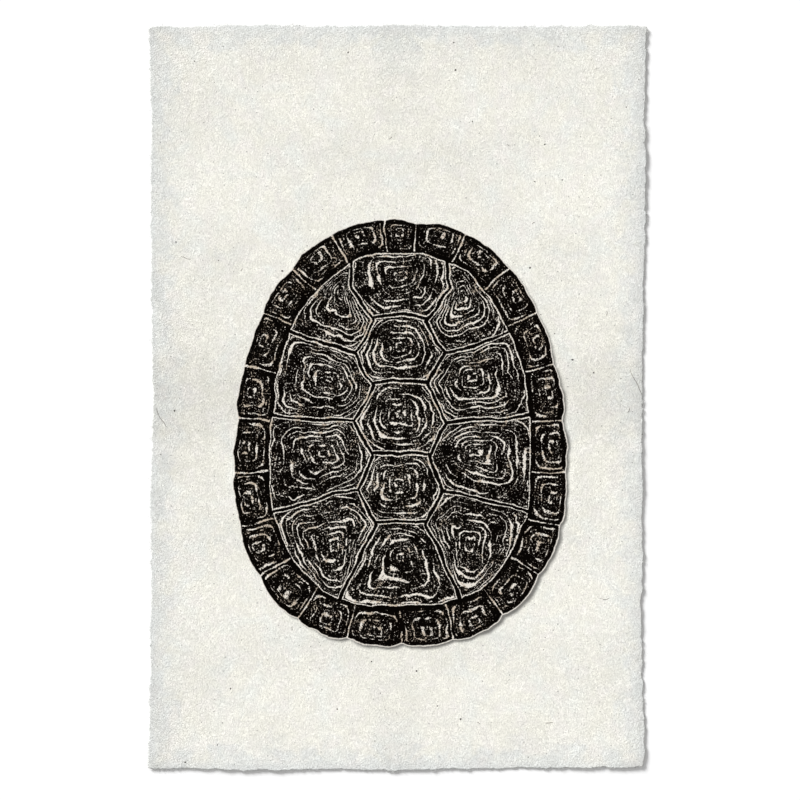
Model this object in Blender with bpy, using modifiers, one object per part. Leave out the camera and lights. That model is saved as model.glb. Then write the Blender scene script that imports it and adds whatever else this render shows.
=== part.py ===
"""Unframed sheet of handmade paper with four deckle edges, lying face up.

The sheet is one piece. Its middle lies flat. Its margins and corners lift a
little and ripple, as handmade paper does when it dries. The printed figure is
only colour, so it has no shape here.

Units are metres, +Z up. +Y points to the head of the sheet. The origin is
under the middle of the sheet, on the surface that it lies on.
"""

import math

import bmesh
import bpy

# Driving dimensions: a nominal 20 by 30 inch sheet, between the mean lines of its deckles
SHEET_WIDTH = 0.505
SHEET_HEIGHT = 0.762
THICKNESS = 0.0004
EDGE_THINNESS = 0.45        # share of the thickness that is left at the deckle
CORNER_RADIUS = 0.0025
PAPER_COLOUR = (0.79, 0.78, 0.73, 1.0)
PAPER_ROUGHNESS = 0.85

# Deckle edges. A wave is (waves along the side, depth, phase in degrees), and
# the lean is how much farther out a side ends than it starts. The left and
# right sides run from the head down, and the head and foot from left to right.
DECKLE_BAND = 0.040         # how far inside the edge the sheet gives way to it
DECKLE = {
    "left": (0.0010, ((1, 0.0013, 0), (3, 0.0007, 20), (5, 0.0005, -25), (11, 0.0004, 5))),
    "right": (-0.0032, ((1, 0.0012, -30), (3, 0.0007, 50), (4, 0.0005, 65), (9, 0.0004, 150))),
    "head": (0.0003, ((1, 0.0004, -135), (3, 0.0006, 130), (4, 0.0003, 45), (15, 0.0004, -165))),
    "foot": (-0.0024, ((1, 0.0008, -165), (3, 0.0006, 150), (4, 0.0004, 65), (13, 0.0003, -135))),
}

# Lift. Within the margin the sheet leaves the surface that it lies on, up to a
# mean height at the edge and the ripples on it, written as the waves above.
LIFT_MARGIN = 0.120
LIFT = {
    "left": (0.0013, ((2, 0.0004, 40), (5, 0.0003, 200))),
    "right": (0.0021, ((2, 0.0004, 250), (5, 0.0003, 15))),
    "head": (0.0012, ((1, 0.0003, 160), (3, 0.0003, 80))),
    "foot": (0.0021, ((1, 0.0003, 300), (3, 0.0004, 120))),
}

# Mesh: the cells of the sheet, and the cuts in each cell's side at the border
CELLS_ACROSS = 32
CELLS_ALONG = 48
BORDER_CUTS = 2


def add_waves(waves, along):
    """Height of a sum of waves at a place along a side, from 0 to 1."""
    return sum(
        depth * math.cos(math.tau * count * along + math.radians(phase))
        for count, depth, phase in waves
    )


def deckle(side, along):
    """How far outside its mean line a side's edge is."""
    lean, waves = DECKLE[side]
    return lean * (along - 0.5) + add_waves(waves, along)


def lift(side, along):
    """Height of a side's edge above the surface that the sheet lies on."""
    mean, waves = LIFT[side]
    return mean + add_waves(waves, along)


def round_corner(x, y):
    """A point of the square-cornered sheet, moved inside its corner's arc."""
    past_x = max(abs(x) - (SHEET_WIDTH / 2 - CORNER_RADIUS), 0.0)
    past_y = max(abs(y) - (SHEET_HEIGHT / 2 - CORNER_RADIUS), 0.0)
    reach = math.hypot(past_x, past_y)
    if min(past_x, past_y) == 0.0 or reach <= CORNER_RADIUS:
        return x, y
    pull = 1 - CORNER_RADIUS / reach
    return x - math.copysign(past_x * pull, x), y - math.copysign(past_y * pull, y)


def sides_at(x, y):
    """Each side with the distance to it and the place along it, from 0 to 1."""
    down = 0.5 - y / SHEET_HEIGHT
    across = 0.5 + x / SHEET_WIDTH
    return {
        "left": (SHEET_WIDTH / 2 + x, down),
        "right": (SHEET_WIDTH / 2 - x, down),
        "head": (SHEET_HEIGHT / 2 - y, across),
        "foot": (SHEET_HEIGHT / 2 + y, across),
    }


def fade(distance, reach):
    """1 at a side, falling smoothly to 0 at the reach inside it."""
    return max(1 - distance / reach, 0.0) ** 2


def place(x, y):
    """Where a point of the flat rectangle lies on the real sheet's underside."""
    sides = sides_at(x, y)
    push = {
        side: deckle(side, along) * fade(distance, DECKLE_BAND)
        for side, (distance, along) in sides.items()
    }
    heights = [
        lift(side, along) * fade(distance, LIFT_MARGIN)
        for side, (distance, along) in sides.items()
    ]
    x, y = round_corner(x, y)
    x += push["right"] - push["left"]
    y += push["head"] - push["foot"]
    return x, y, math.hypot(*heights)


def centre_on_origin(bm):
    """Moves the sheet so that the middle of its outer box is over the origin."""
    for axis in (0, 1):
        places = [vert.co[axis] for vert in bm.verts]
        middle = (min(places) + max(places)) / 2
        for vert in bm.verts:
            vert.co[axis] -= middle


def make_paper():
    paper = bpy.data.materials.new("paper")
    paper.use_nodes = True
    shader = paper.node_tree.nodes["Principled BSDF"]
    shader.inputs["Base Color"].default_value = PAPER_COLOUR
    shader.inputs["Roughness"].default_value = PAPER_ROUGHNESS
    return paper


def make_sheet(collection):
    """The underside as an open surface, made solid upwards and thinner at the deckle."""
    bm = bmesh.new()
    bmesh.ops.create_grid(bm, x_segments=CELLS_ACROSS, y_segments=CELLS_ALONG, size=0.5)
    bmesh.ops.scale(bm, vec=(SHEET_WIDTH, SHEET_HEIGHT, 1.0), verts=bm.verts)
    border = [edge for edge in bm.edges if edge.is_boundary]
    bmesh.ops.subdivide_edges(bm, edges=border, cuts=BORDER_CUTS)
    body = bm.verts.layers.deform.verify()
    for vert in bm.verts:
        vert[body][0] = 0.0 if vert.is_boundary else 1.0
        vert.co = place(vert.co.x, vert.co.y)
    centre_on_origin(bm)

    mesh = bpy.data.meshes.new("paper_sheet")
    bm.to_mesh(mesh)
    bm.free()
    mesh.shade_smooth()
    mesh.materials.append(make_paper())

    sheet = bpy.data.objects.new("paper_sheet", mesh)
    collection.objects.link(sheet)
    sheet.vertex_groups.new(name="body")
    solid = sheet.modifiers.new("thickness", "SOLIDIFY")
    solid.thickness = THICKNESS
    solid.offset = 1.0
    solid.vertex_group = "body"
    solid.thickness_vertex_group = EDGE_THINNESS
    return sheet


def main():
    for obj in list(bpy.data.objects):
        bpy.data.objects.remove(obj)
    collection = bpy.data.collections.new("print_on_handmade_paper")
    bpy.context.scene.collection.children.link(collection)
    make_sheet(collection)


main()
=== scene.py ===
"""Unframed print on handmade paper: a dark carapace figure on an off-white sheet with four deckle edges.

The sheet is one closed mesh, with the real relief of its face and its ragged edge. Long fibres stand out of the
deckle, and plant hairs and flecks of bark lie in the face. The figure is ink, so it is only colour: the sheet
carries guide values in millimetres, and the ink's material draws every line from them.
"""

import math
import random

import bmesh
import bpy
import numpy as np
from mathutils import Matrix, Vector, noise


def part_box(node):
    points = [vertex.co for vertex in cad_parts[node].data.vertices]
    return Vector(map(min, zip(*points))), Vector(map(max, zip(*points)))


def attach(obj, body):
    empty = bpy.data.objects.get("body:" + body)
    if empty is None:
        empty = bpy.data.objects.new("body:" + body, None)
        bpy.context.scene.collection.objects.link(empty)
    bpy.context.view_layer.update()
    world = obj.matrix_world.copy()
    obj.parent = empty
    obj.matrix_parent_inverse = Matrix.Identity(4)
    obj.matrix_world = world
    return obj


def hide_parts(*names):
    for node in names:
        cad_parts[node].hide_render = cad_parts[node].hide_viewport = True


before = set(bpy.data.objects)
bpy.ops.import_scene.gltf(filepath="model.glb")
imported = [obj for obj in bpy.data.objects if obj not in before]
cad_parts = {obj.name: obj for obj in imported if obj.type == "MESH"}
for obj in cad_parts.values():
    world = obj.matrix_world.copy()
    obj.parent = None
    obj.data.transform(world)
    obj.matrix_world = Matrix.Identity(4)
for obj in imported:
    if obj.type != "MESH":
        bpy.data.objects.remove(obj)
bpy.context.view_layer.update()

MM = 0.001

# The sheet, with the same driving dimensions as the solid
SHEET_WIDTH = 0.505
SHEET_HEIGHT = 0.762
THICKNESS = 0.0004
CORNER_RADIUS = 0.0025

# A wave is (waves along the side, depth, phase in degrees). A side's lean is how much farther out it ends than it
# starts. The left and right sides run from the head down, and the head and foot from left to right.
DECKLE_BAND = 0.040
DECKLE = {
    "left": (0.0010, ((1, 0.0013, 0), (3, 0.0007, 20), (5, 0.0005, -25), (11, 0.0004, 5))),
    "right": (-0.0032, ((1, 0.0012, -30), (3, 0.0007, 50), (4, 0.0005, 65), (9, 0.0004, 150))),
    "head": (0.0003, ((1, 0.0004, -135), (3, 0.0006, 130), (4, 0.0003, 45), (15, 0.0004, -165))),
    "foot": (-0.0024, ((1, 0.0008, -165), (3, 0.0006, 150), (4, 0.0004, 65), (13, 0.0003, -135))),
}
LIFT_MARGIN = 0.120
LIFT = {
    "left": (0.0013, ((2, 0.0004, 40), (5, 0.0003, 200))),
    "right": (0.0021, ((2, 0.0004, 250), (5, 0.0003, 15))),
    "head": (0.0012, ((1, 0.0003, 160), (3, 0.0003, 80))),
    "foot": (0.0021, ((1, 0.0003, 300), (3, 0.0004, 120))),
}

# The face's mesh: cells across and along, with fine cells next to the edges, and the back's, one for every three
FACE_CELLS = (216, 324)
BACK_SHARE = 3
FINE_CELLS = 9
FINE_CELL = 0.0010
BORDER_CUTS = 2

# The ragged edge: (size of the bumps, depth), finest last, and how far inside the edge it is felt
RAGGED = ((0.0120, 0.0007), (0.0050, 0.0006), (0.0018, 0.00045))
RAGGED_BAND = 0.006
# The taper of the thickness: what is left at the deckle, and where the full thickness begins
DECKLE_THICKNESS = 0.00014
TAPER_BAND = 0.009
# Lumps of pulp in the face: (size, height)
LUMPS = ((0.034, 0.00011), (0.013, 0.00007), (0.0060, 0.000035))

# Loose fibres at the deckle, plant hairs and flecks of bark
FIBRES = 1500
TUFTS = 26
FIBRE_THICKNESS = 0.00017
FIBRE_SEED = 11
HAIRS = 26
HAIR_THICKNESS = 0.00042
HAIR_SEED = 4
LONG_HAIRS = (
    ((239, 28), (241, 23), (244, 18), (247, 13.5), (248.5, 9), (250, 6), (252.2, 2.5)),
    ((-248.8, -11.5), (-247.6, -15), (-245.6, -19.5), (-242.8, -23), (-239.5, -26.5), (-237.2, -30.5)),
)
FLECKS = 300
FLECK_SEED = 21

FLOOR_DROP = 0.0002
FLOOR_RADIUS = 30.0


def add_waves(waves, along):
    """Height of a sum of waves at a place along a side, from 0 to 1."""
    return sum(
        depth * math.cos(math.tau * count * along + math.radians(phase))
        for count, depth, phase in waves
    )


def deckle(side, along):
    """How far outside its mean line a side's edge is."""
    lean, waves = DECKLE[side]
    return lean * (along - 0.5) + add_waves(waves, along)


def lift(side, along):
    """Height of a side's edge above the surface that the sheet lies on."""
    mean, waves = LIFT[side]
    return mean + add_waves(waves, along)


def round_corner(x, y):
    """A point of the square-cornered sheet, moved inside its corner's arc."""
    past_x = max(abs(x) - (SHEET_WIDTH / 2 - CORNER_RADIUS), 0.0)
    past_y = max(abs(y) - (SHEET_HEIGHT / 2 - CORNER_RADIUS), 0.0)
    reach = math.hypot(past_x, past_y)
    if min(past_x, past_y) == 0.0 or reach <= CORNER_RADIUS:
        return x, y
    pull = 1 - CORNER_RADIUS / reach
    return x - math.copysign(past_x * pull, x), y - math.copysign(past_y * pull, y)


def sides_at(x, y):
    """Each side with the distance to it and the place along it, from 0 to 1."""
    down = 0.5 - y / SHEET_HEIGHT
    across = 0.5 + x / SHEET_WIDTH
    return {
        "left": (SHEET_WIDTH / 2 + x, down),
        "right": (SHEET_WIDTH / 2 - x, down),
        "head": (SHEET_HEIGHT / 2 - y, across),
        "foot": (SHEET_HEIGHT / 2 + y, across),
    }


def fade(distance, reach):
    """1 at a side, falling smoothly to 0 at the reach inside it."""
    return max(1 - distance / reach, 0.0) ** 2


def place(x, y):
    """Where a point of the flat rectangle lies on the real sheet's underside."""
    sides = sides_at(x, y)
    push = {
        side: deckle(side, along) * fade(distance, DECKLE_BAND)
        for side, (distance, along) in sides.items()
    }
    heights = [
        lift(side, along) * fade(distance, LIFT_MARGIN)
        for side, (distance, along) in sides.items()
    ]
    x, y = round_corner(x, y)
    x += push["right"] - push["left"]
    y += push["head"] - push["foot"]
    return x, y, math.hypot(*heights)


def sheet_shift():
    """What brings the middle of the smooth outline's box to the solid's."""
    steps = 600
    rim = [
        place(x, y)
        for step in range(steps + 1)
        for x, y in (
            (-SHEET_WIDTH / 2, (step / steps - 0.5) * SHEET_HEIGHT),
            (SHEET_WIDTH / 2, (step / steps - 0.5) * SHEET_HEIGHT),
            ((step / steps - 0.5) * SHEET_WIDTH, -SHEET_HEIGHT / 2),
            ((step / steps - 0.5) * SHEET_WIDTH, SHEET_HEIGHT / 2),
        )
    ]
    low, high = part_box("paper_sheet")
    return [
        (low[axis] + high[axis]) / 2
        - (min(point[axis] for point in rim) + max(point[axis] for point in rim)) / 2
        for axis in (0, 1)
    ]


SHIFT = sheet_shift()


def to_edge(x, y):
    """Distance of a point of the flat rectangle to the nearest side."""
    return min(distance for distance, along in sides_at(x, y).values())


def ragged(x, y, z=0.0):
    """Sideways push of the ragged edge at a place."""
    push = Vector((0.0, 0.0))
    for number, (size, depth) in enumerate(RAGGED):
        spot = Vector((x / size, y / size, 7.0 * number + z))
        push.x += depth * noise.noise(spot)
        push.y += depth * noise.noise(spot + Vector((31.0, 17.0, 0.0)))
    return push * 2.0


def lumps(x, y):
    """Height of the pulp's lumps at a place in the face."""
    return sum(
        height * noise.noise(Vector((x / size, y / size, 3.0 + number)))
        for number, (size, height) in enumerate(LUMPS)
    )


def sheet_point(x, y):
    """A point of the flat rectangle on the underside of the finished sheet, and the sheet's thickness there."""
    inside = to_edge(x, y)
    under_x, under_y, under_z = place(x, y)
    push = ragged(x, y) * fade(inside, RAGGED_BAND)
    full = 1 - fade(inside, TAPER_BAND)
    thickness = DECKLE_THICKNESS + (THICKNESS - DECKLE_THICKNESS) * full
    thickness += lumps(x, y) * (0.3 + 0.7 * full)
    point = Vector((under_x + push.x + SHIFT[0], under_y + push.y + SHIFT[1], under_z))
    return point, max(thickness, DECKLE_THICKNESS * 0.6)


def face_point(x, y):
    """A point in the sheet's printed face."""
    point, thickness = sheet_point(x, y)
    point.z += thickness
    return point


def graded(step, steps, length):
    """Place of a grid line, with the fine cells next to both ends."""
    from_end = min(step, steps - step)
    if from_end <= FINE_CELLS:
        place_in = from_end * FINE_CELL
    else:
        wide = (length - 2 * FINE_CELLS * FINE_CELL) / (steps - 2 * FINE_CELLS)
        place_in = FINE_CELLS * FINE_CELL + (from_end - FINE_CELLS) * wide
    return place_in - length / 2 if step <= steps / 2 else length / 2 - place_in


def add_grid(bm, share):
    """A grid over the flat rectangle, with a line for every few of the face's lines and a like border for all."""
    made = bmesh.ops.create_grid(
        bm, x_segments=FACE_CELLS[0] // share, y_segments=FACE_CELLS[1] // share, size=0.5
    )["verts"]
    for vert in made:
        column = round((vert.co.x + 0.5) * FACE_CELLS[0])
        row = round((vert.co.y + 0.5) * FACE_CELLS[1])
        vert.co.x = graded(column, FACE_CELLS[0], SHEET_WIDTH)
        vert.co.y = graded(row, FACE_CELLS[1], SHEET_HEIGHT)
    faces = {face for vert in made for face in vert.link_faces}
    border = [edge for face in faces for edge in face.edges if edge.is_boundary]
    cuts = (BORDER_CUTS + 1) * share - 1
    bmesh.ops.subdivide_edges(bm, edges=list(set(border)), cuts=cuts)
    return bm


# The printed figure, in millimetres from its own middle, +Y towards its head
FIGURE_MIDDLE = (3.0, -36.0)
HALF_WIDTH = 167.0
HALF_LENGTH = 216.0
SQUARENESS = 2.35           # 2 is an ellipse; more is squarer
REAR_FLARE = 0.085          # how much wider the rear is than the middle
RING_WIDTH = (30.0, 35.0)   # of the ring of edge scutes, at the head and at the tail
NUCHAL_HALF = 15.0
EDGE_SCUTES = 11            # a side
SCALLOP = (1.2, 4.0)        # how far the edge scutes stand out between their seams, at the head and at the tail
WANDER = ((28.0, 3.2), (9.0, 1.1))  # (size, depth) of the waves in all the figure's lines
OUTLINE_POINTS = 240
PRINT_SHADOW = (3.0, -3.2)  # the printed shadow's shift

# The middle row's half width, from head to tail, its seams and how far they bow towards the head
MIDDLE_ROW = ((205, 50), (150, 50), (116, 27), (82, 45), (47, 28), (11, 47), (-25, 28), (-60, 44), (-94, 25),
              (-138, 47), (-180, 64))
MIDDLE_SEAMS = (190, 116, 47, -25, -94, -182)
SEAM_BOW = 4.0
# The side rows' seams: where each leaves the middle row, and where it meets the ring of edge scutes
SIDE_SEAMS = ((178, 215), (82, 108), (11, 17), (-60, -82), (-184, -196))
SIDE_REACH = 84.0           # from the middle row's mean edge to the ring
SIDE_START = 45.0


def outline(points):
    """Half of the figure's outline, from the head's middle round the +X side to the tail's."""
    angle = np.linspace(0.0, math.pi, points)
    power = 2 / SQUARENESS
    y = HALF_LENGTH * np.sign(np.cos(angle)) * np.abs(np.cos(angle)) ** power
    x = HALF_WIDTH * np.abs(np.sin(angle)) ** power * (1 - REAR_FLARE * y / HALF_LENGTH)
    return np.stack([x, y], axis=1)


def nearest_on_line(places, line):
    """Distance from each place to a line of points, and how far along the line the nearest point is."""
    start, step = line[:-1], np.diff(line, axis=0)
    length = np.hypot(*step.T)
    before = np.concatenate([[0.0], np.cumsum(length)[:-1]])
    best = np.full(len(places), np.inf)
    along = np.zeros(len(places))
    for corner, run, size, done in zip(start, step, length, before):
        part = np.clip(((places - corner) @ run) / size**2, 0.0, 1.0)
        gap = np.hypot(*(places - corner - part[:, None] * run).T)
        closer = gap < best
        best = np.where(closer, gap, best)
        along = np.where(closer, done + part * size, along)
    return best, along


def outline_distance(places):
    """Distance outside the plain outline, negative inside it, how far round from the head, and the whole way."""
    half = outline(OUTLINE_POINTS)
    mirrored = np.stack([np.abs(places[:, 0]), places[:, 1]], axis=1)
    gap, along = nearest_on_line(mirrored, half)
    share = np.clip(mirrored[:, 1] / HALF_LENGTH, -1.0, 1.0)
    reach = HALF_WIDTH * (1 - REAR_FLARE * share) * (1 - np.abs(share) ** SQUARENESS) ** (1 / SQUARENESS)
    inside = (mirrored[:, 0] < reach) & (np.abs(mirrored[:, 1]) < HALF_LENGTH)
    length = np.hypot(*np.diff(half, axis=0).T).sum()
    return np.where(inside, -gap, gap), along, length


def count_rows(across, lines):
    """How many rows a place has passed, as a running number, with the length of the row that it is in.

    The lines are the rows' ends in the order in which across passes them.
    """
    passed = np.zeros(len(across))
    size = np.zeros(len(across))
    for first, last in zip(lines[:-1], lines[1:]):
        share = (across - first) / (last - first)
        passed += np.clip(share, 0.0, 1.0)
        size = np.where((share >= 0) | (size == 0), np.abs(last - first), size)
    return passed, size


def wander(places):
    """The places moved a little and smoothly, so that no line of the figure is ruled."""
    moved = places.copy()
    for number, (size, depth) in enumerate(WANDER):
        shifts = [noise.noise_vector(Vector((x / size, y / size, 9.0 * number)))[:2] for x, y in places]
        moved += depth * np.array(shifts)
    return moved


def scalloped_edge(places):
    """Distances outside the plain and the scalloped outline, with the count and the length of the edge scutes."""
    plain, along, length = outline_distance(places)
    seam_places = np.concatenate([[-NUCHAL_HALF], np.linspace(NUCHAL_HALF, length, EDGE_SCUTES + 1)])
    count, size = count_rows(along, seam_places)
    depth = SCALLOP[0] + (SCALLOP[1] - SCALLOP[0]) * rear_share(places) ** 2
    return plain, plain - depth * (1 - np.abs(2 * (count % 1.0) - 1) ** 3), count, size


def rear_share(places):
    """How far down the figure a place is, from 0 at the head to 1 at the tail."""
    return np.clip(0.5 - places[:, 1] / (2 * HALF_LENGTH), 0.0, 1.0)


def scute_guides(places):
    """The figure's guide values at places on the face, in millimetres.

    For each of the three kinds of scute, the middle row, the side rows and the ring at the edge, they are the
    distance to the line round it, a running count of its seams, and its length between them.
    """
    wide = np.abs(places[:, 0])
    high = places[:, 1]
    plain, outside, edge_count, edge_length = scalloped_edge(places)
    shadow = scalloped_edge(places - np.array(PRINT_SHADOW))[1]
    past_ring = plain + RING_WIDTH[0] + (RING_WIDTH[1] - RING_WIDTH[0]) * rear_share(places)

    row_line = np.array([(half, y) for y, half in MIDDLE_ROW], dtype=float)
    gap, _ = nearest_on_line(np.stack([wide, high], axis=1), row_line)
    half_width = np.interp(-high, -row_line[:, 1], row_line[:, 0])
    past_row = np.where(wide < half_width, -gap, gap)

    bow = SEAM_BOW * (1 - (wide / SIDE_START) ** 2)
    middle_count, middle_length = count_rows(-high + bow, [-seam for seam in MIDDLE_SEAMS])
    out = (wide - SIDE_START) / SIDE_REACH
    ends = [-(start + (end - start) * out * np.abs(out) ** 0.3) for start, end in SIDE_SEAMS]
    side_count, side_length = count_rows(-high, ends)
    return {
        "gaps": np.stack([past_row, past_ring, outside], axis=1),
        "counts": np.stack([middle_count, side_count, edge_count], axis=1),
        "lengths": np.stack([middle_length, side_length, edge_length], axis=1),
        "place": np.stack([places[:, 0], places[:, 1], shadow], axis=1),
    }


def store(mesh, name, values):
    """Keeps a vector for each point of a mesh, for the materials to read."""
    layer = mesh.attributes.new(name, "FLOAT_VECTOR", "POINT")
    layer.data.foreach_set("vector", values.astype(np.float32).ravel())


def figure_places(mesh):
    """Every point of the sheet's mesh, in the figure's own millimetres."""
    points = np.empty(len(mesh.vertices) * 3)
    mesh.vertices.foreach_get("co", points)
    flat = points.reshape(-1, 3)[:, :2]
    return (flat - np.array(SHIFT)) / MM - np.array(FIGURE_MIDDLE)


def lay_bake_map(bm):
    """A flat map of the sheet: most of it for the face, a strip for the back and four threads for the rim."""
    face_width, back_start, back_width, rim_start, rim_width, edge = 0.77, 0.79, 0.17, 0.968, 0.005, 0.004
    layer = bm.loops.layers.uv.new("OFBake")
    for face in bm.faces:
        for loop in face.loops:
            x, y, z = loop.vert.co
            across = x / (SHEET_WIDTH + 0.02) + 0.5
            up = edge + (y / (SHEET_HEIGHT + 0.02) + 0.5) * (1 - 2 * edge)
            if face.material_index == 0:
                loop[layer].uv = (edge + across * face_width, up)
            elif face.material_index == 1:
                loop[layer].uv = (back_start + across * back_width, up)
            else:
                sides = sides_at(x, y)
                number = min(range(4), key=lambda side: list(sides.values())[side][0])
                along = up if number < 2 else edge + across * (1 - 2 * edge)
                top = any(other.material_index == 0 for other in loop.vert.link_faces)
                loop[layer].uv = (rim_start + number * 1.6 * rim_width + top * rim_width, along)


def make_sheet(face_paper, plain_paper):
    """The whole sheet: a fine face, a coarser back, and the rim of the deckle between them."""
    bm = bmesh.new()
    add_grid(bm, 1)
    bmesh.ops.translate(bm, vec=(0, 0, 1), verts=bm.verts)
    add_grid(bm, BACK_SHARE)
    bmesh.ops.triangulate(bm, faces=[face for face in bm.faces if len(face.verts) > 4])
    for face in bm.faces:
        face.material_index = 0 if face.verts[0].co.z > 0.5 else 1
    bmesh.ops.reverse_faces(bm, faces=[face for face in bm.faces if face.material_index == 1])
    borders = [edge for edge in bm.edges if edge.is_boundary]
    for vert in bm.verts:
        if vert.co.z > 0.5:
            vert.co = face_point(vert.co.x, vert.co.y)
        else:
            vert.co = sheet_point(vert.co.x, vert.co.y)[0]
    rim = bmesh.ops.bridge_loops(bm, edges=borders)["faces"]
    for face in rim:
        face.material_index = 2
    bmesh.ops.recalc_face_normals(bm, faces=bm.faces)
    lay_bake_map(bm)
    return finish_piece("paper_sheet_face_and_deckle", bm, (face_paper, plain_paper, plain_paper))


def finish_piece(name, bm, materials, body="root"):
    """Turns a bmesh into a smooth object with its materials, riding on the body."""
    mesh = bpy.data.meshes.new(name)
    bm.to_mesh(mesh)
    bm.free()
    mesh.shade_smooth()
    for material in materials:
        mesh.materials.append(material)
    piece = bpy.data.objects.new(name, mesh)
    bpy.context.scene.collection.objects.link(piece)
    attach(piece, body)
    return piece


class Wire:
    """A number that runs between the nodes of a material, so that a formula reads as one."""

    def __init__(self, tree, socket):
        self.tree = tree
        self.socket = socket

    def maths(self, operation, *others):
        made = self.tree.nodes.new("ShaderNodeMath")
        made.operation = operation
        for place_in, value in zip(made.inputs, (self, *others)):
            connect(self.tree, value, place_in)
        return Wire(self.tree, made.outputs[0])

    def __add__(self, other):
        return self.maths("ADD", other)

    def __radd__(self, other):
        return self.maths("ADD", other)

    def __sub__(self, other):
        return self.maths("SUBTRACT", other)

    def __rsub__(self, other):
        return (self * -1.0) + other

    def __mul__(self, other):
        return self.maths("MULTIPLY", other)

    def __rmul__(self, other):
        return self.maths("MULTIPLY", other)

    def __truediv__(self, other):
        return self.maths("DIVIDE", other)

    def __abs__(self):
        return self.maths("ABSOLUTE")

    def __lt__(self, other):
        return self.maths("LESS_THAN", other)

    def __gt__(self, other):
        return self.maths("GREATER_THAN", other)

    def __pow__(self, other):
        return self.maths("POWER", other)

    def least(self, other):
        return self.maths("MINIMUM", other)

    def most(self, other):
        return self.maths("MAXIMUM", other)

    def part(self):
        return self.maths("FRACT")

    def floor(self):
        return self.maths("FLOOR")

    def step(self, low, high, start=0.0, end=1.0):
        """Runs smoothly from start to end as the number goes from low to high."""
        made = self.tree.nodes.new("ShaderNodeMapRange")
        made.interpolation_type = "SMOOTHSTEP"
        for place_in, value in zip(made.inputs, (self, low, high, start, end)):
            connect(self.tree, value, place_in)
        return Wire(self.tree, made.outputs[0])

    def choose(self, yes, no):
        """Yes where the number is 1, and no where it is 0."""
        made = self.tree.nodes.new("ShaderNodeMix")
        made.data_type = "FLOAT"
        connect(self.tree, self, made.inputs[0])
        connect(self.tree, no, made.inputs[2])
        connect(self.tree, yes, made.inputs[3])
        return Wire(self.tree, made.outputs[0])


def connect(tree, value, place_in):
    """Links a wire or a socket to an input, or sets the input to a plain value."""
    if isinstance(value, Wire):
        tree.links.new(value.socket, place_in)
    elif isinstance(value, bpy.types.NodeSocket):
        tree.links.new(value, place_in)
    else:
        place_in.default_value = value


def add_node(tree, kind, inputs=(), **settings):
    """A node with its settings, and its inputs by name."""
    made = tree.nodes.new(kind)
    for name, value in settings.items():
        setattr(made, name, value)
    for name, value in dict(inputs).items():
        connect(tree, value, made.inputs[name])
    return made


def noise_at(tree, place_in, size, detail=2.0, roughness=0.5, distortion=0.0, number=0, flat=True):
    """Smooth noise from 0 to 1 with bumps of that size, in the units of the place. Each number is another noise."""
    moved = add_node(tree, "ShaderNodeVectorMath", {0: place_in, 1: (397.0 * number, 211.0 * number, 0.0)})
    made = add_node(
        tree,
        "ShaderNodeTexNoise",
        {"Vector": moved.outputs[0], "Scale": 1.0 / size, "Detail": detail, "Roughness": roughness,
         "Distortion": distortion},
        noise_dimensions="2D" if flat else "3D",
    )
    return Wire(tree, made.outputs[0])


def mix_colours(tree, share, first, second, blend="MIX"):
    """The first colour where the share is 0 and the second where it is 1."""
    made = add_node(tree, "ShaderNodeMix", data_type="RGBA", blend_type=blend)
    connect(tree, share, made.inputs[0])
    connect(tree, first, made.inputs[6])
    connect(tree, second, made.inputs[7])
    return made.outputs[2]


def new_group(name, inputs, outputs):
    """An empty shader node group with sockets of the given kinds."""
    group = bpy.data.node_groups.new(name, "ShaderNodeTree")
    kinds = {"number": "NodeSocketFloat", "vector": "NodeSocketVector", "colour": "NodeSocketColor"}
    for socket, kind in inputs:
        group.interface.new_socket(socket, in_out="INPUT", socket_type=kinds[kind])
    for socket, kind in outputs:
        group.interface.new_socket(socket, in_out="OUTPUT", socket_type=kinds[kind])
    entry = group.nodes.new("NodeGroupInput")
    leave = group.nodes.new("NodeGroupOutput")
    return group, entry, leave


def use_group(tree, group, inputs):
    made = tree.nodes.new("ShaderNodeGroup")
    made.node_tree = group
    for name, value in inputs.items():
        connect(tree, value, made.inputs[name])
    return made


def wires(tree, vector):
    """The three numbers of a vector."""
    parts = add_node(tree, "ShaderNodeSeparateXYZ", {"Vector": vector})
    return [Wire(tree, socket) for socket in parts.outputs]


def turned(tree, place_in, angle, stretch):
    """The place, turned in the sheet's plane and then squeezed, so that a noise there runs along that angle."""
    return add_node(
        tree,
        "ShaderNodeMapping",
        {"Vector": place_in, "Rotation": (0.0, 0.0, math.radians(angle)), "Scale": (stretch, 1.0, 1.0)},
        vector_type="TEXTURE",
    ).outputs["Vector"]


def tooth_group():
    """Height of the paper's fibrous tooth from 0 to 1, from threads of pulp that lie in several directions."""
    group, entry, leave = new_group(
        "paper_tooth", [("Place", "vector"), ("Size", "number")], [("Height", "number"), ("Threads", "number")]
    )
    place_in = add_node(group, "ShaderNodeVectorMath", operation="DIVIDE")
    connect(group, entry.outputs["Place"], place_in.inputs[0])
    connect(group, entry.outputs["Size"], place_in.inputs[1])
    spot = place_in.outputs[0]
    threads = None
    for number, angle in enumerate((20, 80, 145)):
        thread = noise_at(group, turned(group, spot, angle, 2.2), 2.5, 1.0, 0.5, 0.8, number)
        thread = 1.0 - abs(thread * 2.0 - 1.0) * 5.0
        threads = thread if threads is None else threads.most(thread)
    threads = threads.step(0.25, 1.0)
    pulp = noise_at(group, spot, 1.7, 2.0, 0.7, 0.0, 5)
    height = threads * 0.45 + pulp * 1.0
    connect(group, height, leave.inputs["Height"])
    connect(group, threads, leave.inputs["Threads"])
    return group


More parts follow.
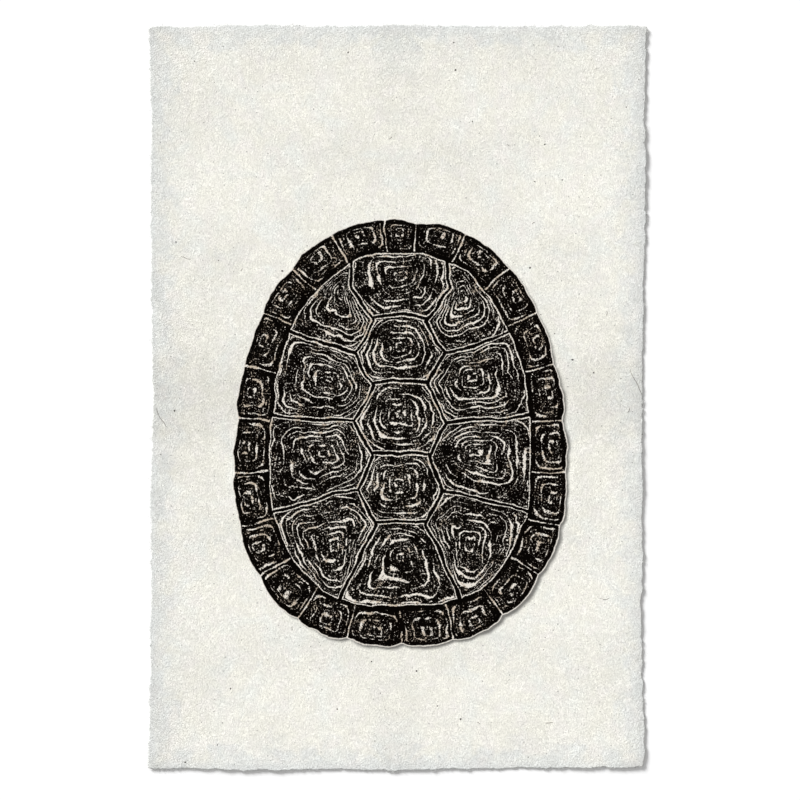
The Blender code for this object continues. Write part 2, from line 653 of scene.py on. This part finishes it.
# Colours, as the share of light that each throws back
PULP_WARM = (0.790, 0.776, 0.702, 1)
PULP_COOL = (0.769, 0.776, 0.730, 1)
PULP_ROSY = (0.792, 0.769, 0.722, 1)
PULP_BLUE = (0.715, 0.740, 0.745, 1)
INK = (0.0014, 0.0008, 0.0004, 1)
THIN_INK = (0.400, 0.320, 0.240, 1)
LINE_CREAM = (0.840, 0.790, 0.715, 1)
LINE_OCHRE = (0.400, 0.285, 0.170, 1)
PRINTED_GREY = (0.100, 0.096, 0.090, 1)
LOOSE_FIBRE = (0.740, 0.745, 0.720, 1)
BARK = (0.040, 0.030, 0.024, 1)
PLANT_HAIR = (0.120, 0.085, 0.055, 1)

# Lighter and darker clouds in the pulp, four times over: middle and half size in mm, and how much lighter
CLOUDS = ((180, 212, 66, 46, 0.045), (92, 306, 66, 30, 0.045), (0, 356, 38, 48, -0.045), (62, 243, 38, 26, -0.035))


def millimetres(tree):
    """The place on the object, in millimetres."""
    scaled = add_node(tree, "ShaderNodeVectorMath", {"Scale": 1 / MM}, operation="SCALE")
    connect(tree, add_node(tree, "ShaderNodeTexCoord").outputs["Object"], scaled.inputs[0])
    return scaled.outputs[0]


def guide(tree, name):
    """The three guide values that the sheet's mesh carries under a name."""
    return wires(tree, add_node(tree, "ShaderNodeAttribute", attribute_name=name).outputs["Vector"])


def specks(tree, place_in, size):
    """Tiny dark specks, about one in every second square of that size."""
    cells = add_node(tree, "ShaderNodeTexVoronoi", {"Vector": place_in, "Scale": 1.0 / size}, voronoi_dimensions="2D")
    lot, other_lot, _ = wires(tree, cells.outputs["Color"])
    radius = 0.30 + lot**3.0 * 0.45
    return (radius - Wire(tree, cells.outputs["Distance"]) * size).step(-0.12, 0.12) * (other_lot > 0.5)


def pulp_group():
    """Colour of the bare paper: mottled all over, and cooler and darker in blotches that gather at the edges.

    The broad mottles are mirrored about the sheet's two middle lines, as they are in the photo.
    """
    group, entry, leave = new_group(
        "pulp_colour", [("Place", "vector"), ("Inside", "number"), ("Threads", "number")], [("Colour", "colour")]
    )
    spot = entry.outputs["Place"]
    mirrored = add_node(group, "ShaderNodeVectorMath", {0: spot}, operation="ABSOLUTE").outputs[0]
    across, up, _ = wires(group, mirrored)
    inside = Wire(group, entry.outputs["Inside"])
    threads = Wire(group, entry.outputs["Threads"])

    broad = noise_at(group, mirrored, 60.0, 4.0, 0.80, 0.3, 1) - 0.5
    warm = noise_at(group, mirrored, 34.0, 1.0, 0.6, 0.3, 2) - 0.5
    rosy = noise_at(group, spot, 19.0, 1.0, 0.6, 0.3, 3) - 0.5
    cool = noise_at(group, mirrored, 20.0, 2.0, 0.5, 0.4, 4)
    grainy = noise_at(group, spot, 13.0, 2.0, 0.6, 0.5, 5).step(0.36, 0.60, 0.45, 1.25)
    fine = noise_at(group, spot, 1.3, 1.0, 0.7, 0.0, 6) - 0.5

    # Cooler towards the edges, darker at the sides and across the middle, and lighter in a few clouds
    near = inside.step(0.0, 50.0, 0.17, -0.20)
    blotch = (cool + near).step(0.44, 0.76)
    rim = inside.step(0.0, 14.0)
    from_side = SHEET_WIDTH / 2 / MM - across
    from_end = SHEET_HEIGHT / 2 / MM - up
    tone = 1.082 + broad * 0.15 - blotch * 0.045
    tone = tone - from_side.step(0.0, 14.0, 0.055, 0.0) - from_side.step(2.0, 40.0, 0.050, 0.0)
    tone = tone - from_end.step(0.0, 34.0, 0.050, 0.0) - (across + broad * 60.0).step(4.0, 34.0, 0.015, 0.0)
    tone = tone - (up + broad * 120.0).step(10.0, 100.0, 0.100, 0.0)
    for middle_x, middle_y, half_x, half_y, light in CLOUDS:
        away = (((across - middle_x) / half_x) ** 2.0 + ((up - middle_y) / half_y) ** 2.0 + broad * 2.0)
        tone = tone + away.step(0.0, 1.3, light, 0.0)
    # The tooth's threads are also a shade paler in colour: paler fibres, with painted highlight along the ridges of
    # the tooth on top of their bump relief.
    tone = tone + (fine * 0.54 + threads * 0.085 - 0.018) * grainy - specks(group, spot, 11.0) * 0.45

    colour = mix_colours(group, (0.5 + warm * 1.8 - near * 1.0).step(0.1, 0.9), PULP_COOL, PULP_WARM)
    colour = mix_colours(group, (0.3 + rosy * 1.8).step(0.0, 1.0), colour, PULP_ROSY)
    colour = mix_colours(group, (blotch * 0.40).most(0.55 - rim * 0.55), colour, PULP_BLUE)
    toned = add_node(group, "ShaderNodeVectorMath", {0: colour, "Scale": tone}, operation="SCALE")
    connect(group, toned.outputs[0], leave.inputs["Colour"])
    return group


def paper_shader(material, colour, height, roughness, depth):
    """The paper's own shader: matte, with the tooth as a fine relief."""
    tree = material.node_tree
    shader = tree.nodes["Principled BSDF"]
    bump = add_node(tree, "ShaderNodeBump", {"Strength": 1.0, "Distance": depth})
    connect(tree, height, bump.inputs["Height"])
    connect(tree, colour, shader.inputs["Base Color"])
    connect(tree, roughness, shader.inputs["Roughness"])
    connect(tree, bump.outputs["Normal"], shader.inputs["Normal"])
    shader.inputs["Specular IOR Level"].default_value = 0.015
    return shader


def new_material(name):
    material = bpy.data.materials.new(name)
    material.use_nodes = True
    return material, material.node_tree


def plain_paper(pulp, tooth):
    """The back and the rim: bare paper, a little smoother than the face, with the mould's felt in it."""
    material, tree = new_material("plain_paper")
    spot = millimetres(tree)
    grain = use_group(tree, tooth, {"Place": spot, "Size": 1.25})
    bare = use_group(
        tree, pulp, {"Place": spot, "Inside": 40.0, "Threads": grain.outputs["Threads"]}
    )
    height = Wire(tree, grain.outputs["Height"])
    paper_shader(material, bare.outputs["Colour"], height, height.step(0.0, 1.0, 0.95, 0.86), 0.00035)
    return material


def scute_wires(tree):
    """Where a place is in its scute: its kind and number, how far it is from the seams, and its own two ways."""
    past_row, past_ring, outside = guide(tree, "gaps")
    counts = guide(tree, "counts")
    lengths = guide(tree, "lengths")
    across, high, _ = guide(tree, "place")
    in_ring = past_ring > 0.0
    in_row = (past_row < 0.0) * (1.0 - in_ring)

    row_width = abs(across) - past_row
    row = (0.5 + across / (row_width * 2.0), row_width * 2.0, 0.5, 0.44, 6.0)
    side_width = past_row - past_ring
    side = (past_row / side_width, side_width, 0.40, 0.42, 8.0)
    ring_width = past_ring - outside
    ring = (past_ring / ring_width, ring_width, 0.70, 0.50, 3.0)
    # Each is how far across the scute, its width, its growth centre across and along it, and its number of rings
    share, width, centre_across, centre_along, rings = [
        in_ring.choose(at_ring, in_row.choose(at_row, at_side))
        for at_ring, at_row, at_side in zip(ring, row, side)
    ]
    count = in_ring.choose(counts[2], in_row.choose(counts[0], counts[1]))
    length = in_ring.choose(lengths[2], in_row.choose(lengths[0], lengths[1]))
    along = count.part()
    return {
        "in_ring": in_ring, "outside": outside, "to_ring": abs(past_ring),
        "cross_seam": along.least(1.0 - along) * length,
        "long_seam": share.least(1.0 - share) * width,
        "growth": {
            "Across": share - centre_across, "Along": along - centre_along,
            "Centre across": centre_across, "Centre along": centre_along,
            "Width": width, "Length": length, "Rings": rings,
            "Number": count.floor() + in_ring * 20.0 + in_row * 40.0 + (across > 0.0) * (1.0 - in_row) * 60.0,
        },
    }


def growth_group():
    """Light lines of one scute: growth rings round its centre, finer rings between them, and rays out from it."""
    inputs = ["Across", "Along", "Centre across", "Centre along", "Width", "Length", "Rings", "Number", "Wobble"]
    group, entry, leave = new_group(
        "growth_lines",
        [(name, "number") for name in inputs],
        [(name, "number") for name in ("Rings", "Fine rings", "Rays", "Reach")],
    )
    given = {name: Wire(group, entry.outputs[name]) for name in inputs}

    def reach_of(offset, centre):
        """How near the scute's side a place is, from 0 at the centre to 1 at the side."""
        return (offset / (1.0 - centre)).most(offset * -1.0 / centre)

    # A soft maximum keeps the rings parallel to the sides, with rounded corners
    reach = (reach_of(given["Across"], given["Centre across"])**5.0
             + reach_of(given["Along"], given["Centre along"])**5.0) ** 0.2
    reach = reach + given["Wobble"]

    # The way out from the growth centre, as a point on a circle, so that nothing jumps all the way round
    way = add_node(group, "ShaderNodeCombineXYZ")
    connect(group, given["Across"] * given["Width"], way.inputs["X"])
    connect(group, given["Along"] * given["Length"], way.inputs["Y"])
    round_way = add_node(group, "ShaderNodeVectorMath", {0: way.outputs[0]}, operation="NORMALIZE")
    across, along, _ = wires(group, round_way.outputs[0])

    def spread(turn, out, number):
        """Noise in the scute's own ways: so many bumps for each radian round the centre, and out from it."""
        spot = add_node(group, "ShaderNodeCombineXYZ")
        connect(group, across * turn, spot.inputs["X"])
        connect(group, along * turn, spot.inputs["Y"])
        connect(group, given["Number"] * 7.3 + number + out, spot.inputs["Z"])
        return noise_at(group, spot.outputs[0], 1.0, 1.0, flat=False)

    def ring(passed, turn, number):
        """How far inside a ring's line a place is, negative outside it. Each line swells and breaks in its own way."""
        half_width = ((spread(turn, passed.floor() * 5.7, number) - 0.42) * 2.0).most(-0.2).least(0.42)
        return half_width - abs(passed.part() * 2.0 - 1.0)

    passed = reach**1.15 * given["Rings"]
    for name, value in (
        ("Rings", ring(passed, 1.5, 0.0)),
        ("Fine rings", ring(passed * 2.0 + 0.5, 2.6, 30.0)),
        ("Rays", 1.0 - abs(spread(9.0, reach * 1.5, 90.0) * 2.0 - 1.0) * 6.0),
        ("Reach", reach),
    ):
        connect(group, value, leave.inputs[name])
    return group


def printed_paper(pulp, tooth, growth):
    """The face: bare paper, and the figure's ink on it."""
    material, tree = new_material("printed_paper")
    spot = millimetres(tree)
    grain = use_group(tree, tooth, {"Place": spot, "Size": 1.0})
    height = Wire(tree, grain.outputs["Height"])
    inside = guide(tree, "edge")[0]
    bare = use_group(
        tree, pulp, {"Place": spot, "Inside": inside, "Threads": grain.outputs["Threads"]}
    ).outputs["Colour"]

    scute = scute_wires(tree)
    wobble = noise_at(tree, spot, 24.0, number=7) - 0.5
    fine_wobble = noise_at(tree, spot, 6.0, number=8) - 0.5
    speck = noise_at(tree, spot, 1.5, 1.0, 0.6, number=9) - 0.5
    patch = noise_at(tree, spot, 17.0, 2.0, 0.6, 0.8, 10) - 0.5
    lines = use_group(tree, growth, {
        **scute["growth"], "Wobble": wobble * 0.22 + fine_wobble * 0.045,
    })
    rings, fine_rings, rays, reach = [
        Wire(tree, lines.outputs[name]) for name in ("Rings", "Fine rings", "Rays", "Reach")
    ]

    # Each scute's seam is a dark line between two light ones, which swell and break. An edge scute's is light.
    wavy = wobble * 5.0 + fine_wobble * 2.4
    seam = scute["long_seam"].least(scute["cross_seam"]).least(scute["to_ring"]) + wavy * 0.35
    inner = 1.0 - scute["in_ring"]
    bold = 1.0 + patch * 2.0
    border = (1.0 - abs(seam - 2.2) / bold).most(0.0) * inner
    cross = (1.0 - abs(scute["cross_seam"] + wavy * 0.4) / (bold * 1.1)).most(0.0) * scute["in_ring"]
    inward = seam.step(2.6, 4.4)

    # Everything light adds up to one tone, and the ink is missing where the tone and the paper's grain are high
    tone = rings.step(-0.10, 0.20) * (0.60 - scute["in_ring"] * 0.10) * inward
    tone = tone.most(border * 0.90).most(cross * 0.90)
    tone = tone + fine_rings.step(-0.2, 0.3) * 0.20 * inward + rays.step(0.0, 1.0) * 0.20 * inward
    tone = tone + patch * 0.42 + speck * 1.50 - scute["in_ring"] * 0.03 - seam.step(1.4, 0.4) * inner * 0.5
    light = tone.step(0.30, 0.55)

    ochre = (patch + scute["in_ring"] * 0.10 + fine_wobble * 0.5).step(0.06, 0.24)
    line_colour = mix_colours(tree, ochre * 0.6, LINE_CREAM, LINE_OCHRE)
    line_colour = mix_colours(tree, light, THIN_INK, line_colour)
    figure = mix_colours(tree, light, INK, line_colour)

    # The printed shadow, the thin pale rim round the figure, and the figure itself
    outside = scute["outside"] + fine_wobble * 1.2 + speck * 0.5
    cast = guide(tree, "place")[2]
    shade = cast.step(2.6, -1.6) * 0.85
    colour = mix_colours(tree, shade, bare, PRINTED_GREY)
    colour = mix_colours(tree, outside.step(1.4, 0.9) * 0.85, colour, LINE_CREAM)
    inked = outside.step(0.5, -0.1)
    colour = mix_colours(tree, inked, colour, figure)

    dark = inked * (1.0 - light)
    roughness = height.step(0.0, 1.0, 0.95, 0.86) - dark * 0.12
    paper_shader(material, colour, height * (1.0 - dark * 0.35), roughness, 0.00045)
    return material


def thread_material(name, colour, roughness):
    """Loose fibres, plant hairs or bark: one colour with a fine change along it."""
    material, tree = new_material(name)
    spot = millimetres(tree)
    change = noise_at(tree, spot, 2.5, 3.0, 0.6)
    darker = tuple(0.62 * part for part in colour[:3]) + (1,)
    shader = tree.nodes["Principled BSDF"]
    connect(tree, mix_colours(tree, change.step(0.3, 0.7), colour, darker), shader.inputs["Base Color"])
    connect(tree, change.step(0.0, 1.0, roughness, roughness + 0.1), shader.inputs["Roughness"])
    shader.inputs["Specular IOR Level"].default_value = 0.2
    return material


def add_guides(sheet):
    """Gives the sheet's mesh the values that its materials read."""
    places = figure_places(sheet.data)
    for name, values in scute_guides(wander(places)).items():
        store(sheet.data, name, values)
    flat = (places + np.array(FIGURE_MIDDLE)) * MM
    inside = np.minimum(SHEET_WIDTH / 2 - np.abs(flat[:, 0]), SHEET_HEIGHT / 2 - np.abs(flat[:, 1])) / MM
    store(sheet.data, "edge", np.stack([inside, inside, inside], axis=1))


def make_threads(name, strands, thickness, material):
    """Many thin tubes, one for each strand of (point, share of the thickness), joined in one mesh."""
    curve = bpy.data.curves.new(name, "CURVE")
    curve.dimensions = "3D"
    curve.bevel_depth = thickness / 2
    curve.bevel_resolution = 0
    curve.use_fill_caps = True
    for strand in strands:
        spline = curve.splines.new("POLY")
        spline.points.add(len(strand) - 1)
        for knot, (point, share) in zip(spline.points, strand):
            knot.co = (*point, 1.0)
            knot.radius = share
    draft = bpy.data.objects.new(name, curve)
    bpy.context.scene.collection.objects.link(draft)
    graph = bpy.context.evaluated_depsgraph_get()
    mesh = bpy.data.meshes.new_from_object(draft.evaluated_get(graph))
    bpy.data.objects.remove(draft)
    bm = bmesh.new()
    bm.from_mesh(mesh)
    bpy.data.meshes.remove(mesh)
    bmesh.ops.remove_doubles(bm, verts=bm.verts, dist=1e-7)
    bmesh.ops.recalc_face_normals(bm, faces=bm.faces)
    return finish_piece(name, bm, (material,))


def stroll(luck, start, heading, length, turn, knots):
    """Points of a line that wanders over the sheet from a start, each a step on from the last."""
    points = [Vector(start)]
    for _ in range(knots):
        heading += luck.uniform(-turn, turn)
        points.append(points[-1] + Vector((math.cos(heading), math.sin(heading))) * length / knots)
    return points


def side_point(along, inside):
    """A point of the flat rectangle inside its border, that share of the way round it, and the heading outwards."""
    half_x, half_y = SHEET_WIDTH / 2, SHEET_HEIGHT / 2
    walk = along * 2 * (SHEET_WIDTH + SHEET_HEIGHT)
    if walk < SHEET_WIDTH:
        return (walk - half_x, half_y - inside), math.pi / 2
    walk -= SHEET_WIDTH
    if walk < SHEET_HEIGHT:
        return (half_x - inside, half_y - walk), 0.0
    walk -= SHEET_HEIGHT
    if walk < SHEET_WIDTH:
        return (half_x - walk, inside - half_y), -math.pi / 2
    walk -= SHEET_WIDTH
    return (inside - half_x, walk - half_y), math.pi


def deckle_fibre(luck, along, length):
    """One fibre that starts inside the deckle and ends outside it."""
    start, outwards = side_point(along % 1.0, luck.uniform(0.0002, 0.0022))
    root, thickness = sheet_point(*start)
    root.z += thickness * luck.uniform(0.3, 0.8)
    line = stroll(luck, (0.0, 0.0), outwards + luck.uniform(-1.35, 1.35), length, 0.5, 5)
    sag = luck.uniform(0.0, 0.0004)
    return [
        (root + Vector((point.x, point.y, -sag * (number / 5) ** 2)), share)
        for number, (point, share) in enumerate(zip(line, (0.8, 1.0, 0.95, 0.8, 0.55, 0.25)))
    ]


def make_deckle_fibres(material):
    """Loose fibres all round the deckle, and tufts of longer ones here and there."""
    luck = random.Random(FIBRE_SEED)
    strands = [
        deckle_fibre(luck, (number + luck.random()) / FIBRES, 0.0012 + luck.expovariate(1 / 0.0013))
        for number in range(FIBRES)
    ]
    for tuft in range(TUFTS):
        middle = luck.random()
        for _ in range(luck.randint(5, 11)):
            along = middle + luck.gauss(0.0, 0.0009)
            strands.append(deckle_fibre(luck, along, luck.uniform(0.0025, 0.0065)))
    return make_threads("deckle_fibres", strands, FIBRE_THICKNESS, material)


def hair_strand(line, back=False):
    """A plant hair along a line of the flat rectangle, half sunk in the face or the back."""
    last = len(line) - 1
    strand = []
    for number, point in enumerate(line):
        spot = sheet_point(*point)[0] if back else face_point(*point)
        spot.z += HAIR_THICKNESS * (-0.1 if back else 0.1)
        strand.append((spot, 0.35 + 0.65 * math.sin(math.pi * (0.15 + 0.75 * number / last))))
    return strand


def make_plant_hairs(material):
    """A few brown plant hairs in both faces, of which the two longest reach the deckle."""
    luck = random.Random(HAIR_SEED)
    strands = [hair_strand([Vector(point) * MM for point in line]) for line in LONG_HAIRS]
    for number in range(HAIRS):
        start = (luck.uniform(-0.48, 0.48) * SHEET_WIDTH, luck.uniform(-0.48, 0.48) * SHEET_HEIGHT)
        if math.hypot(start[0] / 0.185, (start[1] + 0.036) / 0.235) < 1:
            continue
        line = stroll(luck, start, luck.uniform(0, math.tau), luck.uniform(0.003, 0.011), 0.45, 7)
        strands.append(hair_strand(line, back=number % 3 == 0))
    return make_threads("plant_hairs", strands, HAIR_THICKNESS, material)


def make_bark_flecks(material):
    """Flat dark crumbs of bark, half sunk in the face and the back, clear of the figure."""
    luck = random.Random(FLECK_SEED)
    bm = bmesh.new()
    for number in range(FLECKS):
        x = luck.uniform(-0.495, 0.495) * SHEET_WIDTH
        y = luck.uniform(-0.495, 0.495) * SHEET_HEIGHT
        back = number % 4 == 0
        if not back and math.hypot(x / 0.172, (y + 0.036) / 0.222) < 1:
            continue
        size = min(0.00030 + luck.expovariate(1 / 0.00024), 0.0012)
        spot = sheet_point(x, y)[0] if back else face_point(x, y)
        made = bmesh.ops.create_icosphere(bm, subdivisions=2, radius=size)["verts"]
        bmesh.ops.scale(bm, vec=(1.0, luck.uniform(0.45, 0.9), 0.00009 / size), verts=made)
        bmesh.ops.rotate(bm, matrix=Matrix.Rotation(luck.uniform(0, math.pi), 3, "Z"), verts=made)
        for vert in made:
            dent = noise.noise(vert.co * 2200 + Vector((0.0, 0.0, 3.0 * number)))
            vert.co.xy *= 1 + 0.45 * dent
        bmesh.ops.translate(bm, vec=spot, verts=made)
    return finish_piece("bark_flecks", bm, (material,))


def main():
    pulp = pulp_group()
    tooth = tooth_group()
    growth = growth_group()
    plain = plain_paper(pulp, tooth)
    sheet = make_sheet(printed_paper(pulp, tooth, growth), plain)
    add_guides(sheet)
    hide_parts("paper_sheet")
    make_deckle_fibres(thread_material("loose_fibre", LOOSE_FIBRE, 0.9))
    make_plant_hairs(thread_material("plant_hair", PLANT_HAIR, 0.7))
    make_bark_flecks(thread_material("bark", BARK, 0.8))
    make_studio()


def make_studio():
    """A pale floor, an even soft light from the upper left, and a camera straight above the sheet."""
    bm = bmesh.new()
    bmesh.ops.create_circle(bm, cap_ends=True, segments=64, radius=FLOOR_RADIUS)
    bmesh.ops.translate(bm, vec=(0, 0, -FLOOR_DROP), verts=bm.verts)
    mesh = bpy.data.meshes.new("floor")
    bm.to_mesh(mesh)
    bm.free()
    material, tree = new_material("floor_white")
    shader = tree.nodes["Principled BSDF"]
    shader.inputs["Base Color"].default_value = (0.95, 0.95, 0.95, 1)
    shader.inputs["Roughness"].default_value = 1.0
    shader.inputs["Specular IOR Level"].default_value = 0.0
    mesh.materials.append(material)
    floor = bpy.data.objects.new("floor", mesh)
    bpy.context.scene.collection.objects.link(floor)

    light = bpy.data.lights.new("key", "SUN")
    light.angle = math.radians(24)
    light.energy = 4.45
    key = bpy.data.objects.new("key", light)
    key.rotation_euler = Vector((-0.60, 0.66, 0.454)).to_track_quat("Z", "Y").to_euler()
    bpy.context.scene.collection.objects.link(key)

    world = bpy.data.worlds.new("studio")
    world.use_nodes = True
    tree = world.node_tree
    background = tree.nodes["Background"]
    background.inputs["Color"].default_value = (1, 1, 1, 1)
    seen = add_node(tree, "ShaderNodeLightPath").outputs["Is Camera Ray"]
    connect(tree, Wire(tree, seen).choose(1.0, 0.46), background.inputs["Strength"])
    bpy.context.scene.world = world
    bpy.context.scene.view_settings.view_transform = "Standard"

    camera_data = bpy.data.cameras.new("camera")
    distance = 4.0
    frame_width = 0.8202
    camera_data.sensor_width = 36.0
    camera_data.lens = camera_data.sensor_width * distance / frame_width
    camera_data.clip_end = 200.0
    camera = bpy.data.objects.new("camera", camera_data)
    camera.location = (0.0030, -0.0026, distance)
    bpy.context.scene.collection.objects.link(camera)
    bpy.context.scene.camera = camera


main()
